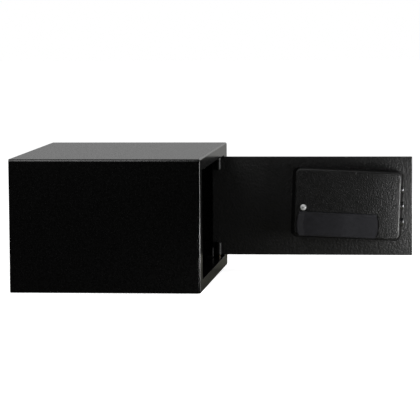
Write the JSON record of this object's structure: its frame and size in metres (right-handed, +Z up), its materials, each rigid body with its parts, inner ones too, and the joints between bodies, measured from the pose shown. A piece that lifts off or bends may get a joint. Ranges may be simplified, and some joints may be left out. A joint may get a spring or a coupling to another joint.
{
  "type": "electronic safe",
  "caption": "Low wide electronic safe with a side-hinged steel door standing open, a keypad outside and a motor-driven bolt lock under a plastic cover inside.",
  "frame": {"origin": "middle of the underside of the body", "axes": "+Z up, the front opening faces -Y, the hinges are on the +X side, the door is stored open at a right angle and points along -Y"},
  "size_m": [0.44, 0.648, 0.22],
  "materials": {
    "coat": "satin black powder coat with a fine texture",
    "felt": "needled felt",
    "zinc": "zinc-plated steel",
    "chrome": "bright chrome plate",
    "brass": "turned brass",
    "black_plastic": "moulded plastic with a spark texture",
    "smooth_plastic": "smooth moulded plastic",
    "rubber": "matt black rubber",
    "key_grey": "moulded keycap",
    "window": "dark tinted acrylic",
    "board": "solder mask on glass laminate",
    "cell": "plain printed film on a steel can",
    "nylon": "natural nylon",
    "cable": "grey ribbon cable"
  },
  "bodies": {
    "body": {"body_shell": "coat", "back_panel": "coat", "floor_mat": "felt", "anchor_plug_1": "rubber", "anchor_plug_2": "rubber", "front_frame": "coat", "hinge_lug_upper": "coat", "hinge_lug_lower": "coat", "hinge_pin_upper": "zinc", "hinge_pin_lower": "zinc", "thrust_washer_upper": "brass", "thrust_washer_lower": "brass", "door_stop": "coat"},
    "door": {"door_panel": "coat", "hinge_knuckle_upper": "coat", "hinge_knuckle_lower": "coat", "override_cylinder": "zinc", "cylinder_nut": "zinc", "lock_chassis": "zinc", "gear_motor": "zinc", "main_board": "board", "keypad_cable": "cable", "keypad_bezel": "black_plastic", "display_window": "window", "display_module": "black_plastic", "key_mat": "rubber", "keypad_board": "board", "keyhole_cap_rivet": "zinc", "lock_cover": "black_plastic", "cover_screw": "chrome", "battery_tray": "black_plastic", "battery_1": "cell", "battery_2": "cell", "battery_3": "cell", "battery_4": "cell", "battery_contact_free": "zinc", "battery_contact_hinge": "zinc"},
    "bolts": {"bolt_carriage": "zinc", "bolt_upper": "chrome", "bolt_middle": "chrome", "bolt_lower": "chrome"},
    "pinion": {"drive_pinion": "nylon"},
    "override": {"override_plug": "brass", "override_cam": "zinc"},
    "battery_cover": {"battery_cover": "smooth_plastic"},
    "keyhole_cap": {"keyhole_cap": "smooth_plastic"},
    "key_1": {"key_1": "key_grey"},
    "key_2": {"key_2": "key_grey"},
    "key_3": {"key_3": "key_grey"},
    "key_4": {"key_4": "key_grey"},
    "key_5": {"key_5": "key_grey"},
    "key_6": {"key_6": "key_grey"},
    "key_7": {"key_7": "key_grey"},
    "key_8": {"key_8": "key_grey"},
    "key_9": {"key_9": "key_grey"},
    "key_0": {"key_0": "key_grey"},
    "key_clear": {"key_clear": "key_grey"},
    "key_lock": {"key_lock": "key_grey"}
  },
  "joints": [
    {"name": "door_hinge", "type": "hinge", "parent": "body", "child": "door", "pos_m": [0.1555, -0.1485, 0.11115], "axis": [0, 0, 1], "range_deg": [-90, 7]},
    {"name": "bolt_slide", "type": "slide", "parent": "door", "child": "bolts", "axis": [0, -1, 0], "range_m": [0, 0.026]},
    {"name": "pinion_spin", "type": "hinge", "parent": "door", "child": "pinion", "pos_m": [0.14675, -0.403, 0.11915], "axis": [0, 0, 1], "range_deg": [-250, 1]},
    {"name": "override_turn", "type": "hinge", "parent": "door", "child": "override", "pos_m": [0.1555, -0.378, 0.15005], "axis": [1, 0, 0], "range_deg": [0, 125]},
    {"name": "battery_cover_lift", "type": "slide", "parent": "door", "child": "battery_cover", "axis": [-1, 0, 0], "range_m": [0, 0.02]},
    {"name": "keyhole_cap_swing", "type": "hinge", "parent": "door", "child": "keyhole_cap", "pos_m": [0.176, -0.378, 0.16205], "axis": [1, 0, 0], "range_deg": [-120, 120]},
    {"name": "press_key_1", "type": "slide", "parent": "door", "child": "key_1", "axis": [-1, 0, 0], "range_m": [0, 0.001], "stiffness_N_per_m": 500},
    {"name": "press_key_2", "type": "slide", "parent": "door", "child": "key_2", "axis": [-1, 0, 0], "range_m": [0, 0.001], "stiffness_N_per_m": 500},
    {"name": "press_key_3", "type": "slide", "parent": "door", "child": "key_3", "axis": [-1, 0, 0], "range_m": [0, 0.001], "stiffness_N_per_m": 500},
    {"name": "press_key_4", "type": "slide", "parent": "door", "child": "key_4", "axis": [-1, 0, 0], "range_m": [0, 0.001], "stiffness_N_per_m": 500},
    {"name": "press_key_5", "type": "slide", "parent": "door", "child": "key_5", "axis": [-1, 0, 0], "range_m": [0, 0.001], "stiffness_N_per_m": 500},
    {"name": "press_key_6", "type": "slide", "parent": "door", "child": "key_6", "axis": [-1, 0, 0], "range_m": [0, 0.001], "stiffness_N_per_m": 500},
    {"name": "press_key_7", "type": "slide", "parent": "door", "child": "key_7", "axis": [-1, 0, 0], "range_m": [0, 0.001], "stiffness_N_per_m": 500},
    {"name": "press_key_8", "type": "slide", "parent": "door", "child": "key_8", "axis": [-1, 0, 0], "range_m": [0, 0.001], "stiffness_N_per_m": 500},
    {"name": "press_key_9", "type": "slide", "parent": "door", "child": "key_9", "axis": [-1, 0, 0], "range_m": [0, 0.001], "stiffness_N_per_m": 500},
    {"name": "press_key_0", "type": "slide", "parent": "door", "child": "key_0", "axis": [-1, 0, 0], "range_m": [0, 0.001], "stiffness_N_per_m": 500},
    {"name": "press_key_clear", "type": "slide", "parent": "door", "child": "key_clear", "axis": [-1, 0, 0], "range_m": [0, 0.001], "stiffness_N_per_m": 500},
    {"name": "press_key_lock", "type": "slide", "parent": "door", "child": "key_lock", "axis": [-1, 0, 0], "range_m": [0, 0.001], "stiffness_N_per_m": 500}
  ],
  "couplings": [
    {"joint": "pinion_spin", "follows": "bolt_slide", "rad_per_m": -166.67}
  ]
}
